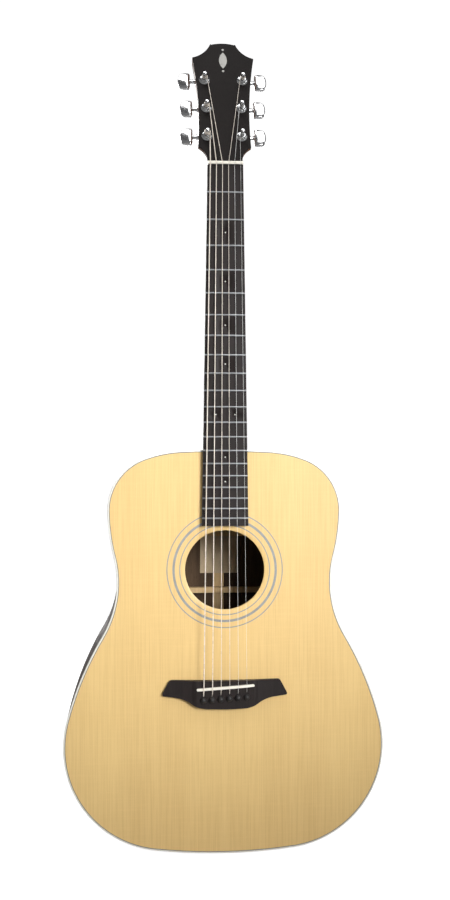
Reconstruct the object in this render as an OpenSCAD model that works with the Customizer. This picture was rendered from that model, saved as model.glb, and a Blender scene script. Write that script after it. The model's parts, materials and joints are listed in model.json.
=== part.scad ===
// Steel-string acoustic guitar with a deep, wide-waisted body, standing upright.
// X runs across the guitar (treble side +X), Z runs up the neck, and the front faces -Y.
// The origin is at the tip of the strap button, midway between soundboard and back.

/* [Body] */
// Depth of the body at the tail
tail_depth = 120; // [112:1:126]
// Depth of the body at the neck
neck_end_depth = 100; // [96:1:108]
// Radius of the arched back
back_r = 4572; // [4000:4:5200]
// Radius of the tail's flat curve
tail_r = 715; // [690:5:740]
// Radius of the lower bout's round corner
lower_bout_r = 131; // [129:0.5:133]
// Radius of the long curve from the lower bout to the waist
flank_r = 420; // [405:5:435]
// Radius of the waist
waist_r = 133; // [128:1:138]
// Radius of the long curve from the waist to the upper bout
chest_r = 240; // [230:2:250]
// Radius of the upper bout's round corner
upper_bout_r = 70; // [68:0.5:72]
// Radius of the shoulders
shoulder_r = 158; // [154:1:162]
// Thickness of the soundboard
top_t = 2.8; // [2.5:0.1:3.2]
// Thickness of the back
back_t = 2.8; // [2.5:0.1:3.2]
// Thickness of the sides and width of the binding
side_t = 2; // [1.8:0.1:2.2]
// Height of the binding strips
binding_h = 6; // [5:0.5:7]
// Width of the dark purfling line inside the binding
purfling_w = 1; // [0.6:0.1:1.2]

/* [Soundhole] */
// Distance from the nut to the middle of the soundhole
soundhole_from_nut = 510.5; // [509:0.5:512]
// Radius of the soundhole
soundhole_r = 50; // [48:0.5:52]

/* [Neck] */
// Sounding length from the nut to the fretted scale's end
scale_len = 650; // [646:1:654]
// Distance from the nut to the edge of the body
nut_to_body = 359; // [357:1:362]
// Length of the fingerboard
board_len = 455; // [452:1:458]
// Width of the fingerboard at the nut
nut_w = 44.8; // [43:0.2:46]
// Widening of the fingerboard on each side, per millimetre of length
board_taper = 0.0151; // [0.013:0.0005:0.017]
// Thickness of the fingerboard on its centreline
board_t = 7.5; // [7:0.1:8]
// Radius of the fingerboard's crown
board_r = 400; // [350:10:500]
// Thickness of the nut along the neck
nut_t = 4; // [3.5:0.1:5]
// How much nearer to the first fret the nut stands than the scale's own end
nut_set = 1.6; // [0:0.1:2]
// Height of the heel from the soundboard to the heel cap
heel_depth = 93; // [88:1:94]

/* [Headstock] */
// Backward tilt of the headstock in degrees
head_tilt = 15; // [13:1:17]
// Thickness of the headstock with its overlay
head_t = 15.5; // [15:0.5:17]
// Length of the headstock's face on its centreline
head_len = 170; // [165:1:174]
// Post distances from the nut along the headstock, lowest first
post_s = [36.8, 76.8, 116.8];
// Post distances from the centreline, lowest first
post_x = [22.2, 22.3, 24.4];

/* [Strings] */
// String diameters from bass to treble
string_d = [1.35, 1.07, 0.81, 0.61, 0.41, 0.3];
// String spacing at the nut
nut_pitch = 7.6; // [7:0.1:7.8]
// String spacing at the saddle
saddle_pitch = 10.8; // [10.4:0.1:11]
// Distance from the nut to the middle of the saddle
saddle_from_nut = 657; // [655:0.5:658]
// Distance from the nut to the row of bridge pins
pins_from_nut = 671; // [670:0.5:671.5]
// Slant of the saddle and of the pin row in degrees
bridge_slant = 3.9; // [3:0.1:4.5]

/* [Hidden] */
$fn = 72;

big = 900;
arc_step = 4.5;

// Planes and heights
top_y = -60;
inner_y = top_y + top_t;
tail_z = 9;

// Body outline: [radius, sweep] of each tangent arc from the tail to the neck, the waist turning back
outline_arcs = [
    [tail_r, 7],
    [lower_bout_r, 98],
    [flank_r, 15.5],
    [-waist_r, 45],
    [chest_r, 13.5],
    [upper_bout_r, 70.5],
    [shoulder_r, 17.5]
];
closing_sweep = 3;

function arc_run(p, h, r, sweep, step) =
    let (turn = sign(r) * sweep, n = max(1, ceil(sweep / step)))
    [for (i = [1:n]) p + r * [sin(h + turn * i / n) - sin(h), cos(h) - cos(h + turn * i / n)]];

function trace(p, h, arcs, step, i = 0) =
    i == len(arcs) ? [] :
    let (run = arc_run(p, h, arcs[i][0], arcs[i][1], step))
    concat(run, trace(run[len(run) - 1], h + sign(arcs[i][0]) * arcs[i][1], arcs, step, i + 1));

function inset_arcs(arcs, d) = [for (a = arcs) [a[0] - d, a[1]]];
function last(list) = list[len(list) - 1];
function mirrored(half) = concat(half, [for (i = [len(half) - 1:-1:0]) [-half[i][0], half[i][1]]]);

open_end = last(trace([0, tail_z], 0, outline_arcs, arc_step));
closing_r = open_end[0] / sin(closing_sweep);
body_arcs = concat(outline_arcs, [[closing_r, closing_sweep]]);
join_z = last(trace([0, tail_z], 0, body_arcs, arc_step))[1];

function half_outline(d) = concat(
    [[0.001, tail_z + d]],
    [for (p = trace([0, tail_z + d], 0, inset_arcs(body_arcs, d), arc_step)) [max(p[0], 0.001), p[1]]]
);

// The arched back is part of a large sphere, centred so that the body tapers towards the neck
back_slope = atan((tail_depth - neck_end_depth) / (join_z - tail_z));
half_chord = (join_z - tail_z) / 2 / cos(back_slope);
dome_reach = sqrt(back_r * back_r - half_chord * half_chord);
dome_y = top_y + (tail_depth + neck_end_depth) / 2 - dome_reach * cos(back_slope);
dome_z = (join_z + tail_z) / 2 - dome_reach * sin(back_slope);

// Neck stations
nut_z = join_z + nut_to_body;
nut_front = nut_z - nut_set;
board_end = nut_z - board_len;
hole_z = nut_z - soundhole_from_nut;
board_top_y = top_y - board_t;
crown_y = board_top_y + board_r;
fret_w = 2;
fret_count = 20;
shaft_t = 15;
block_len = 55;
block_w = 78;
tenon_w = 20;
tenon_len = 18;
tenon_y = 15;
rod_y = -52.5;
rod_tunnel_r = 4.5;
heel_cap_t = 2.5;
heel_y = top_y + heel_depth;
lining_w = 6;
lining_h = 14;

function fret_z(n) = nut_z - scale_len * (1 - pow(2, -n / 12));
function board_half(z) = nut_w / 2 + board_taper * (nut_z - z);

// Bridge stations
bridge_h = 9;
saddle_z = nut_z - saddle_from_nut;
pins_z = nut_z - pins_from_nut;
bridge_y = top_y - bridge_h;
saddle_y = top_y - 13.3;
pin_pitch = saddle_pitch + 0.1;
plate_t = 3;
saddle_w = 3;
saddle_len = 72.6;

// Headstock frame: the face's lower end, behind the nut
head_y = top_y - 2;
head_z = nut_front + nut_t;
overlay_t = 2;
key_offset = 9;
key_y = 21;
gear_teeth = 16;
gear_pitch_r = 5.6;
worm_pitch_r = key_offset - gear_pitch_r;
worm_lead = 2 * PI * gear_pitch_r / gear_teeth;
post_r = 3;
waist_post_r = 2.6;
coil_y = -6.2;
key_reach = [46.9, 46.9, 49.4];

// Strings run bass to treble from left to right
function across(i, pitch) = (i - 2.5) * pitch;
function slant(x) = x * tan(bridge_slant);
function string_r(i) = string_d[i] / 2;
function is_left(i) = i < 3;
function post_row(i) = is_left(i) ? i : 5 - i;
function side_sign(i) = is_left(i) ? -1 : 1;
function head_point(x, y, s) = [
    x,
    head_y + y * cos(head_tilt) + s * sin(head_tilt),
    head_z - y * sin(head_tilt) + s * cos(head_tilt)
];
function crown_drop(x) = board_r - sqrt(board_r * board_r - x * x);
function nut_string_y(i) = top_y - 9 + crown_drop(across(i, nut_pitch)) - string_r(i);
function saddle_string_y(i) = saddle_y + crown_drop(across(i, saddle_pitch)) - string_r(i);
function pin_z(i) = pins_z + slant(across(i, pin_pitch));

// ---------------------------------------------------------------- helpers

// Extrudes a shape drawn in X and Z through the depth from y0 to y1
module slab(y0, y1) {
    translate([0, y1, 0]) rotate([90, 0, 0]) linear_extrude(y1 - y0) children();
}

module body_shape(d = 0) {
    polygon(mirrored(half_outline(d)));
}

module body_ring(d, w) {
    difference() {
        body_shape(d);
        body_shape(d + w);
    }
}

// The space in front of the back's outer surface, or of a surface lying inside it
dome_rim = 460;
dome_rows = 20;

module dome(inward = 0) {
    translate([0, 0, dome_z]) rotate([-90, 0, 0]) rotate_extrude($fn = 180) polygon(concat(
        [[0, -50], [dome_rim, -50]],
        [
            for (k = [dome_rows:-1:0])
                let (r = dome_rim * k / dome_rows)
                [r, dome_y + sqrt(pow(back_r - inward, 2) - r * r)]
        ]
    ));
}

module block(x0, x1, y0, y1, z0, z1) {
    translate([x0, y0, z0]) cube([x1 - x0, y1 - y0, z1 - z0]);
}

// A round bar between two points
module bar(a, b, r) {
    v = b - a;
    translate(a)
        rotate([0, acos(v[2] / norm(v)), atan2(v[1], v[0])])
        cylinder(r = r, h = norm(v), $fn = 72);
}

function unit(v) = v / norm(v);
function tangents(p) = [
    for (i = [0:len(p) - 1])
        unit(
            (i == 0 ? [0, 0, 0] : unit(p[i] - p[i - 1]))
            + (i == len(p) - 1 ? [0, 0, 0] : unit(p[i + 1] - p[i]))
        )
];
function carried(t, v, i = 0) =
    i == len(t) ? [] :
    let (u = unit(v - (v * t[i]) * t[i])) concat([u], carried(t, u, i + 1));

// A thin tube swept along points, with eight sides
module cord(points, r) {
    sides = 8;
    t = tangents(points);
    u = carried(t, [1, 0, 0]);
    n = len(points);
    skin = [
        for (i = [0:n - 2], k = [0:sides - 1], half = [0, 1])
            let (a = i * sides + k, b = i * sides + (k + 1) % sides)
            half == 0 ? [a, a + sides, b + sides] : [a, b + sides, b]
    ];
    polyhedron(
        points = [
            for (i = [0:n - 1], k = [0:sides - 1])
                let (a = 360 * k / sides)
                points[i] + r * (cos(a) * u[i] + sin(a) * cross(t[i], u[i]))
        ],
        faces = concat(skin, [[for (k = [0:sides - 1]) k], [for (k = [sides - 1:-1:0]) (n - 1) * sides + k]])
    );
}

// Places children on the headstock: X across, Y into the face, Z up the face
module on_head() {
    translate([0, head_y, head_z]) rotate([-head_tilt, 0, 0]) children();
}

// A cylinder through the headstock along its local Y, from y0 to y1
module head_bore(x, s, y0, y1, r) {
    translate([x, y1, s]) rotate([90, 0, 0]) cylinder(r = r, h = y1 - y0);
}

// Places children at tuner i: local Z is the post's axis towards the back, local X points outwards
module at_tuner(i) {
    on_head()
        translate([side_sign(i) * post_x[post_row(i)], 0, post_s[post_row(i)]])
        mirror([is_left(i) ? 1 : 0, 0, 0])
        rotate([-90, 0, 0])
        children();
}

// ---------------------------------------------------------------- body

module soundboard() {
    color("#edcf8f") difference() {
        slab(top_y, inner_y) body_shape(side_t);
        slab(top_y - 1, top_y + 1.5) body_ring(side_t, purfling_w);
        slab(top_y - 1, inner_y + 1) translate([0, hole_z]) circle(r = soundhole_r, $fn = 128);
        rosette_rings();
        for (i = [0:5]) pin_hole(i);
    }
}

module back() {
    color("#5a3523") difference() {
        intersection() {
            slab(0, tail_depth) body_shape(side_t);
            dome();
        }
        dome(back_t);
    }
}

module side_shell() {
    difference() {
        intersection() {
            slab(top_y + binding_h, tail_depth) body_ring(0, side_t);
            dome(binding_h);
        }
        graft_wedge();
        tenon();
    }
}

module side_bass() {
    color("#55301f") intersection() {
        side_shell();
        block(-big, 0, -big, big, 0, big);
    }
}

module side_treble() {
    color("#55301f") intersection() {
        side_shell();
        block(0, big, -big, big, 0, big);
    }
}

module top_binding() {
    color("#f2eee2") difference() {
        slab(top_y, top_y + binding_h) body_ring(0, side_t);
        tenon();
        rod_tunnel();
    }
}

module back_binding() {
    color("#f2eee2") difference() {
        intersection() {
            slab(0, tail_depth) body_ring(0, side_t);
            dome();
        }
        dome(binding_h);
    }
}

module top_purfling() {
    color("#55565a") slab(top_y, top_y + 1.5) body_ring(side_t, purfling_w);
}

// Inlaid rings round the soundhole: [middle radius, width]
rosette_rows = [[56.7, 1.3], [64.5, 3], [72.8, 1.3]];

module rosette_rings() {
    for (row = rosette_rows) slab(top_y, top_y + 1.2) translate([0, hole_z]) difference() {
        circle(r = row[0] + row[1] / 2, $fn = 128);
        circle(r = row[0] - row[1] / 2, $fn = 128);
    }
}

module rosette() {
    color("#8d9193") rosette_rings();
}

module top_linings() {
    color("#c69c6d") difference() {
        slab(inner_y, inner_y + lining_h) body_ring(side_t, lining_w);
        neck_block_space();
        tail_block_space();
    }
}

module back_linings() {
    color("#c69c6d") difference() {
        intersection() {
            slab(0, tail_depth) body_ring(side_t, lining_w);
            dome(back_t);
        }
        dome(back_t + lining_h);
        neck_block_space();
        tail_block_space();
    }
}

module neck_block_space() {
    block(-block_w / 2, block_w / 2, inner_y, tail_depth, join_z - block_len, join_z + 5);
}

module tail_block_space() {
    block(-38, 38, inner_y, tail_depth, 0, tail_z + 20);
}

module in_body(d) {
    intersection() {
        slab(inner_y, tail_depth) body_shape(d);
        dome(back_t);
        children();
    }
}

module neck_block() {
    color("#a8703f") difference() {
        in_body(side_t) neck_block_space();
        tenon();
        translate([0, rod_y, join_z - block_len - 1]) cylinder(r = rod_tunnel_r, h = block_len);
        for (y = bolt_ys) translate([0, y, join_z - block_len - 1]) cylinder(r = bolt_r + 0.4, h = block_len);
    }
}

module tail_block() {
    color("#a8703f") difference() {
        in_body(side_t) tail_block_space();
        cylinder(r = 4, h = 60);
    }
}

// A brace glued under the soundboard from a to b, with a rounded lower edge and thinned ends
module top_brace(a, b, w, h) {
    v = b - a;
    length = norm(v);
    end_h = min(4, h - 1);
    translate([a[0], inner_y, a[1]])
        rotate([0, -atan2(v[1], v[0]), 0])
        intersection() {
            rotate([90, 0, 90]) linear_extrude(length) polygon([
                [0, -w / 2], [h * 0.6, -w / 2], [h, -w / 6], [h, w / 6], [h * 0.6, w / 2], [0, w / 2]
            ]);
            translate([0, 0, -w]) linear_extrude(2 * w) polygon([
                [0, 0], [length, 0], [length, end_h], [length - 30, h], [30, h], [0, end_h]
            ]);
        }
}

// The X-brace, soundhole braces and side struts, in mirrored pairs: [from, to, width, height]
paired_braces = [
    [[-116, 415], [158, 98], 8, 15],
    [[66, 366], [66, 434], 6, 7],
    [[80, 195], [176, 219], 6, 8],
    [[98, 176], [190, 166], 6, 8]
];
// The two tone bars and the transverse brace above the soundhole: [from, to, width, height]
single_braces = [
    [[-34, 168], [60, 62], 7, 10],
    [[-78, 172], [-8, 60], 7, 10],
    [[-150, 441], [150, 441], 12, 15]
];

module top_braces() {
    color("#d9b778") difference() {
        intersection() {
            union() {
                for (row = paired_braces, m = [-1, 1]) {
                    top_brace([m * row[0][0], row[0][1]], [m * row[1][0], row[1][1]], row[2], row[3]);
                }
                for (row = single_braces) top_brace(row[0], row[1], row[2], row[3]);
            }
            slab(inner_y, 0) body_shape(side_t + lining_w);
        }
        translate([0, rod_y, 400]) cylinder(r = rod_tunnel_r, h = 80);
        bridge_plate_space();
    }
}

module bridge_plate_space() {
    slab(inner_y, inner_y + plate_t) polygon([
        [-88, pins_z - 20], [88, pins_z - 20], [58, pins_z + 18], [-58, pins_z + 18]
    ]);
}

module bridge_plate() {
    color("#cfa56b") difference() {
        bridge_plate_space();
        for (i = [0:5]) pin_hole(i);
    }
}

module dome_shell(inward, t) {
    difference() {
        dome(inward);
        dome(inward + t);
    }
}

back_brace_rows = [[92, 18], [206, 18], [329, 7], [405, 6]];

module back_braces() {
    color("#d9b778") intersection() {
        slab(0, tail_depth) body_shape(side_t + lining_w);
        dome_shell(back_t, 13);
        union() for (row = back_brace_rows) {
            block(-big, big, -big, big, row[0] - row[1] / 2, row[0] + row[1] / 2);
        }
    }
}

strip_half = 7;
strip_t = 2;
paper_t = 0.4;
label_half = 25;
label_z = [351, 401];

module back_centre_strip() {
    color("#e2c68f") difference() {
        intersection() {
            dome_shell(back_t, strip_t);
            block(-strip_half, strip_half, 0, big, tail_z + 22, join_z - block_len - 3);
        }
        for (row = back_brace_rows) {
            block(-20, 20, -big, big, row[0] - row[1] / 2 - 0.5, row[0] + row[1] / 2 + 0.5);
        }
    }
}

// Paper glued over the centre strip, stepping down to the back on both sides
module label() {
    color("#e9dcc0") difference() {
        intersection() {
            dome_shell(back_t, strip_t + paper_t);
            block(-label_half, label_half, 0, big, label_z[0], label_z[1]);
        }
        intersection() {
            dome_shell(back_t, strip_t);
            block(-strip_half, strip_half, 0, big, 0, big);
        }
        for (m = [0, 1]) mirror([m, 0, 0]) intersection() {
            dome_shell(back_t + paper_t, 2 * strip_t);
            block(strip_half + paper_t, label_half + 1, 0, big, 0, big);
        }
    }
}

// The tapered strip let into the tail where the two sides meet
module graft_wedge() {
    translate([0, 0, tail_z - 1]) linear_extrude(6) polygon([
        [-7, top_y], [7, top_y], [11, top_y + 130], [-11, top_y + 130]
    ]);
}

module end_graft() {
    color("#efe9da") difference() {
        intersection() {
            slab(top_y + binding_h, tail_depth) body_ring(0, side_t);
            dome(binding_h);
            graft_wedge();
        }
        cylinder(r = 4, h = 60);
    }
}

module strap_button() {
    color("#1c1a1a") rotate_extrude() union() {
        polygon([
            [0, 0], [5, 0], [6.2, 0.5], [6.75, 1.2], [6.75, 3.6], [6.2, 4.2],
            [4.4, 5], [3.8, 6], [4.2, 7.2], [6, tail_z - 0.8], [6, tail_z], [0, tail_z]
        ]);
        translate([0, tail_z - 1]) square([4, 20]);
    }
}

// ---------------------------------------------------------------- neck

bolt_ys = [-32, 2];
bolt_r = 3;

module tenon() {
    block(-tenon_w / 2, tenon_w / 2, inner_y, tenon_y, join_z - tenon_len, join_z + 2);
}

module rod_tunnel() {
    translate([0, rod_y, join_z - tenon_len - 1]) cylinder(r = rod_tunnel_r, h = tenon_len + 6);
}

// One ring of the neck's loft: origin, tilt, half-width, depth and squareness
ring_n = 18;
function signed_power(v, e) = sign(v) * pow(abs(v), e);
function neck_ring(o, tilt, w, d, e) = [
    for (k = [0:ring_n])
        let (
            a = 180 * k / ring_n,
            across = w * signed_power(cos(a), e),
            deep = d * pow(abs(sin(a)), e)
        )
        [across, o[1] + deep * cos(tilt), o[0] - deep * sin(tilt)]
];

heel_arc = 50;
heel_thick = 14;
heel_full = 125;
shaft_top = join_z + heel_thick + heel_arc;

neck_rings = concat(
    [for (z = [join_z - 4, join_z + heel_thick]) neck_ring([z, top_y], 0, board_half(z), heel_full, 0.95)],
    [for (a = [10:10:80])
        let (z = shaft_top - heel_arc * cos(a), d = heel_full - (heel_full - shaft_t - 2) * sin(a))
        neck_ring([z, top_y], 0, board_half(z), d, 0.95 - 0.1 * a / 90)
    ],
    [for (z = [shaft_top + 2, shaft_top + 90, nut_z - 80, nut_z - 20])
        neck_ring([z, top_y], 0, board_half(z), shaft_t + 2 * (nut_z - z) / (nut_z - shaft_top), 0.85)
    ],
    [for (s = [-10:3:23])
        let (k = (s + 10) / 33, p = head_point(0, overlay_t, max(s, 0)))
        neck_ring(
            s < 0 ? [head_z + s, top_y] : [p[2], p[1]],
            head_tilt * max(0, min(1, (s + 4) / 8)),
            nut_w / 2 + 15 * pow(k, 4),
            14.6 - 1.1 * k,
            0.85
        )
    ],
    [for (s = [26:3:44])
        let (k = (s - 23) / 21, p = head_point(0, overlay_t, s))
        neck_ring([p[2], p[1]], head_tilt, 38 + 12 * k, head_t - overlay_t, 0.85 - 0.77 * k)
    ],
    [for (s = [60, head_len + 6])
        let (p = head_point(0, overlay_t, s))
        neck_ring([p[2], p[1]], head_tilt, 50, head_t - overlay_t, 0.08)
    ]
);

module neck_loft() {
    m = ring_n + 1;
    rows = len(neck_rings);
    points = [for (ring = neck_rings) each ring];
    skin = [
        for (i = [0:rows - 2], k = [0:m - 1], half = [0, 1])
            let (a = i * m + k, b = i * m + (k + 1) % m)
            half == 0 ? [a, a + m, b + m] : [a, b + m, b]
    ];
    ends = [[for (k = [0:m - 1]) k], [for (k = [m - 1:-1:0]) (rows - 1) * m + k]];
    polyhedron(points = points, faces = concat(skin, ends), convexity = 6);
}

// Headstock outline in its own plane: concave flare, long sides, shoulders and crown
head_corners = [[33.6, 21.3], [39.5, head_len - 21.3], [14.8, head_len - 2]];
head_half = concat(
    [[nut_w / 2, -30], [nut_w / 2, 3.7]],
    arc_run([nut_w / 2, 3.7], 90, -19.5, 56, 7),
    [head_corners[0]],
    arc_run(head_corners[0], 94, -545, 13.2, 4),
    [head_corners[1]],
    arc_run(head_corners[1], 167, -33, 56, 7),
    [head_corners[2]],
    arc_run(head_corners[2], 165, 57, 15, 5)
);
head_path = [for (p = head_half) [max(p[0], 0.001), p[1]]];

module head_outline() {
    polygon(mirrored(head_path));
}

module neck() {
    color("#8a5a33") difference() {
        union() {
            intersection() {
                neck_loft();
                union() {
                    block(-60, 60, -big, heel_y - heel_cap_t, join_z - 6, head_z);
                    on_head() slab(overlay_t - 4, 60) head_outline();
                }
            }
            tenon();
        }
        difference() {
            slab(top_y - 5, tail_depth) body_shape(0);
            tenon();
        }
        on_head() block(-60, 60, -40, overlay_t, -2, head_len + 20);
        block(-60, 60, top_y - 40, top_y, 0, head_z);
        block(-3.25, 3.25, top_y - 1, top_y + 11, join_z + 4, nut_z - 8);
        rod_tunnel();
        for (y = bolt_ys) translate([0, y, join_z - tenon_len - 1]) cylinder(r = bolt_r, h = 26);
        on_head() for (i = [0:5]) {
            head_bore(side_sign(i) * post_x[post_row(i)], post_s[post_row(i)], -5, 30, 5);
        }
        for (i = [0:5]) tuner_screw(i);
    }
}

module heel_cap() {
    color("#f2eee2") difference() {
        intersection() {
            neck_loft();
            block(-60, 60, heel_y - heel_cap_t, heel_y, join_z - 6, join_z + 60);
        }
        slab(top_y - 5, tail_depth) body_shape(0);
    }
}

module crown_space(r = 0) {
    translate([0, crown_y, 0]) cylinder(r = board_r + r, h = 1200, $fn = 256);
}

// A ring segment following the crown of the fingerboard at height z
module crown_sweep(z, half) {
    turn = asin(half / board_r);
    translate([0, crown_y, z]) rotate([0, 0, -90 - turn]) rotate_extrude(angle = 2 * turn, $fn = 256)
        children();
}

module fret_slot(n) {
    crown_sweep(fret_z(n), 34) translate([board_r - 2, -0.3]) square([6, 0.6]);
}

module fingerboard() {
    color("#262020") difference() {
        intersection() {
            slab(top_y - board_t - 1, top_y) polygon([
                [-board_half(nut_front), nut_front],
                [-board_half(board_end), board_end],
                [board_half(board_end), board_end],
                [board_half(nut_front), nut_front]
            ]);
            crown_space();
        }
        for (n = [1:fret_count]) fret_slot(n);
        dot_spots();
    }
}

module frets() {
    color("#c9ccd0") for (n = [1:fret_count]) {
        crown_sweep(fret_z(n), board_half(fret_z(n)) - 0.2) {
            translate([board_r - 2, -0.3]) square([2.2, 0.6]);
            intersection() {
                translate([board_r - 0.15, 0]) circle(r = fret_w / 2 + 0.03, $fn = 24);
                translate([board_r, -fret_w]) square([2, 2 * fret_w]);
            }
        }
    }
}

// Face dots: fret number and sideways place
face_dots = [[3, 0], [5, 0], [7, 0], [9, 0], [12, -12], [12, 12], [15, 0], [17, 0]];
// Side dots: fret number and shift along the neck
side_dots = [[3, 0], [5, 0], [7, 0], [9, 0], [12, -4], [12, 4], [15, 0], [17, 0]];

function between_frets(n) = (fret_z(n) + fret_z(n - 1)) / 2;

module dot_spots() {
    for (d = face_dots) intersection() {
        translate([d[1], board_top_y + 1.5, between_frets(d[0])]) rotate([90, 0, 0])
            cylinder(r = 0.85, h = 3, $fn = 32);
        crown_space();
    }
    for (d = side_dots) {
        z = between_frets(d[0]) + d[1];
        translate([-board_half(z) - 0.1, top_y - 3.4, z]) rotate([0, 90, 0])
            cylinder(r = 0.9, h = 1.6, $fn = 32);
    }
}

module position_dots() {
    color("#eceae4") intersection() {
        dot_spots();
        slab(top_y - board_t - 1, top_y) polygon([
            [-board_half(nut_front), nut_front],
            [-board_half(board_end), board_end],
            [board_half(board_end), board_end],
            [board_half(nut_front), nut_front]
        ]);
    }
}

module nut() {
    color("#f3efe4") difference() {
        intersection() {
            block(-nut_w / 2, nut_w / 2, top_y - 12, top_y, nut_front, head_z);
            translate([0, crown_y - 2.6, 0]) cylinder(r = board_r, h = 1200, $fn = 256);
            translate([-30, top_y, head_z]) rotate([90, 0, 90]) linear_extrude(60) polygon([
                [0, -nut_t - 1], [-12, -nut_t - 1], [-12, -nut_t + 1.6], [-8.6, 0], [0, 0]
            ]);
        }
        for (i = [0:5]) nut_slot(i);
    }
}

// A string's slot in the nut, fanning towards its post and sloping down behind
module nut_slot(i) {
    a = string_path(i)[4];
    b = string_path(i)[5];
    w = string_r(i) + 0.15;
    lead = 2;
    run = nut_t + 1;
    drift = (b[0] - a[0]) / (b[2] - a[2]) * run;
    fall = (b[1] - a[1]) / (b[2] - a[2]) * run;
    intersection() {
        slab(top_y - 14, top_y) polygon([
            [a[0] - w, a[2] - lead],
            [a[0] + w, a[2] - lead],
            [a[0] + w, a[2]],
            [a[0] + w + drift, a[2] + run],
            [a[0] - w + drift, a[2] + run],
            [a[0] - w, a[2]]
        ]);
        translate([-30, a[1] + w, a[2]]) rotate([90, 0, 90]) linear_extrude(60) polygon([
            [-20, -lead], [0, -lead], [0, 0], [fall, run], [-20, run]
        ]);
    }
}

module neck_bolts() {
    color("#8d9094") for (y = bolt_ys) translate([0, y, join_z - block_len]) {
        difference() {
            union() {
                translate([0, 0, -2]) cylinder(r = 8, h = 2);
                translate([0, 0, -8]) cylinder(r = 5, h = 6);
                translate([0, 0, -2.5]) cylinder(r = bolt_r, h = block_len + 6);
            }
            translate([0, 0, -9]) cylinder(r = 2.9, h = 5, $fn = 6);
        }
    }
}

rod_nut_z = join_z - tenon_len - 14;

module truss_rod() {
    color("#6f7378") {
        translate([0, rod_y, rod_nut_z + 5.2]) cylinder(r = 2.5, h = nut_z - 24 - rod_nut_z);
        block(-3, 3, top_y, top_y + 3.2, join_z + 6, nut_z - 12);
        for (z = [join_z + 6, nut_z - 26]) block(-3.2, 3.2, top_y, top_y + 10.8, z, z + 14);
    }
}

module truss_rod_nut() {
    color("#b08d4a") translate([0, rod_y, rod_nut_z]) difference() {
        translate([0, 0, -6]) cylinder(r = 4, h = 19);
        translate([0, 0, 4.9]) cylinder(r = 2.56, h = 20);
        translate([0, 0, -7]) cylinder(r = 2.31, h = 9, $fn = 6);
    }
}

// ---------------------------------------------------------------- headstock

module headstock_overlay() {
    color("#1b1919") difference() {
        on_head() slab(0, overlay_t) intersection() {
            head_outline();
            translate([-60, 0]) square([120, head_len + 10]);
        }
        on_head() {
            for (i = [0:5]) {
                head_bore(side_sign(i) * post_x[post_row(i)], post_s[post_row(i)], -5, 30, 5);
            }
            inlay_pocket();
        }
        block(-60, 60, -big, 0, 0, head_z);
    }
}

// A plain leaf-shaped lozenge with a dot above and below
module inlay_pocket() {
    slab(0, 0.8) translate([0, head_len - 25]) {
        intersection() {
            translate([11, 0]) circle(r = 16, $fn = 96);
            translate([-11, 0]) circle(r = 16, $fn = 96);
        }
        for (m = [-1, 1]) translate([0, m * 15.5]) circle(r = 1.5, $fn = 32);
    }
}

module headstock_inlay() {
    color("#d8c79a") on_head() inlay_pocket();
}

// ---------------------------------------------------------------- bridge

// The lower edge bulges in the middle and sweeps out to the wing tips
belly_arcs = [[400, 3.5], [36, 31], [-45, 25.5], [-300, 3]];
bridge_bottom = nut_z - 684.3;
belly_run = trace([0, bridge_bottom], 0, belly_arcs, 3);
wing_tip = last(belly_run);
bridge_top = nut_z - 649.1;

bridge_half = concat(
    [[0.001, bridge_bottom]],
    belly_run,
    arc_run(wing_tip, 6, 2.2, 111.5, 15),
    arc_run([70.9, bridge_top - 1.6], 117.5, 5, 62.5, 12),
    [[34, bridge_top + 0.4], [0.001, bridge_top]]
);

module bridge_shape() {
    polygon(mirrored(bridge_half));
}

// Front-to-back section: full height in the middle, wings swept down to their tips
bridge_profile = concat(
    [[0.001, 0], [80, 0], [80, 4.2]],
    arc_run([80, 4.4], 180, -280, 8, 2),
    [[39, bridge_h - 0.8], [36, bridge_h], [0.001, bridge_h]]
);

module bridge() {
    color("#2b2624") difference() {
        intersection() {
            slab(bridge_y - 1, top_y) bridge_shape();
            translate([0, top_y, 0]) mirror([0, 1, 0]) linear_extrude(big) polygon(mirrored(bridge_profile));
        }
        saddle_slot();
        for (i = [0:5]) {
            pin_hole(i);
            string_ramp(i);
        }
    }
}

// Both ends of the saddle and of its slot are round
module saddle_plan() {
    translate([0.4, saddle_z]) rotate(bridge_slant) {
        square([saddle_len - saddle_w, saddle_w], center = true);
        for (m = [-1, 1]) translate([m * (saddle_len - saddle_w) / 2, 0]) circle(r = saddle_w / 2, $fn = 32);
    }
}

module saddle_slot() {
    slab(bridge_y - 1, bridge_y + 5) saddle_plan();
}

module saddle() {
    color("#fbfaf4") intersection() {
        slab(saddle_y - 1, bridge_y + 5) saddle_plan();
        translate([0, saddle_y + board_r, 0]) cylinder(r = board_r, h = 400, $fn = 256);
    }
}

shank_top_r = 2.7;
shank_tip_r = 2.1;
shank_len = 24;

module pin_axis(i) {
    translate([across(i, pin_pitch), bridge_y, pin_z(i)]) rotate([-90, 0, 0]) children();
}

module pin_hole(i) {
    pin_axis(i) translate([0, 0, -2])
        cylinder(
            r1 = shank_top_r + 0.08 + 0.05,
            r2 = shank_tip_r + 0.08,
            h = shank_len + 2
        );
}

// The slot that lets a string leave its pin hole towards the saddle
module string_ramp(i) {
    a = string_path(i)[2];
    b = string_path(i)[3];
    w = string_r(i) + 0.2;
    v = b - a;
    translate(a) rotate([atan2(v[2], v[1]) - 90, 0, 0])
        translate([-w, -w, 0]) block(0, 2 * w, 0, w, -1, 9);
    bar(a, b, w);
}

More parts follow.
